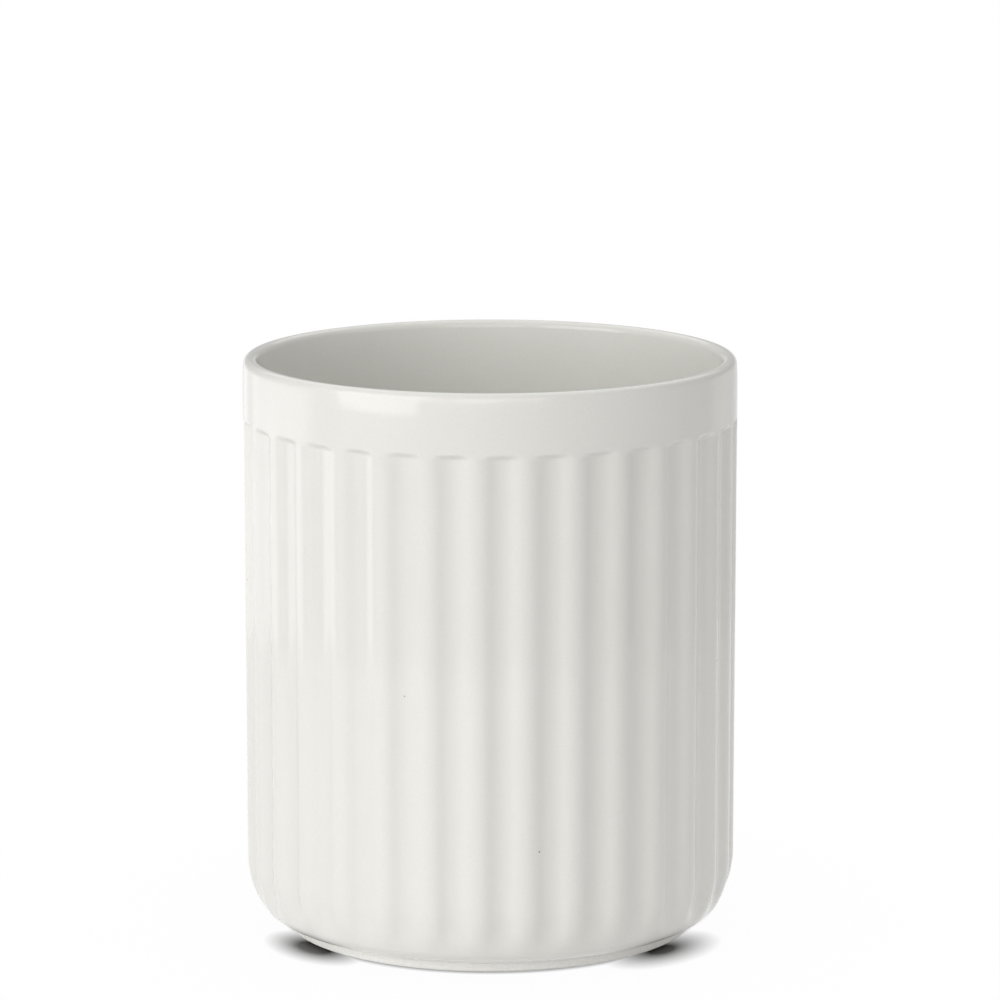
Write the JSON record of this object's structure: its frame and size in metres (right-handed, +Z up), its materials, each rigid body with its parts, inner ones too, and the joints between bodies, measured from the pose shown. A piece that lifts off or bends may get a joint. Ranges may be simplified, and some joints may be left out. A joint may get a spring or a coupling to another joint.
{
  "type": "utensil crock",
  "caption": "Round stoneware utensil crock, open at the top, with vertical flutes below a plain rim band, a low foot ring and a glued cork base pad.",
  "frame": {"origin": "on the crock's axis, on the surface that it stands on", "axes": "+Z up along the crock's axis; -Y faces the picture's camera, with a ridge between two flutes on the -Y side"},
  "size_m": [0.155, 0.155, 0.182],
  "materials": {
    "glazed_stoneware": "satin off-white glaze, bare rim on the foot ring",
    "cork": "pressed fine-grain cork",
    "adhesive": "cured adhesive film"
  },
  "bodies": {
    "root": {"crock_body": "glazed_stoneware", "base_pad": "cork", "pad_adhesive": "adhesive"}
  },
  "joints": []
}
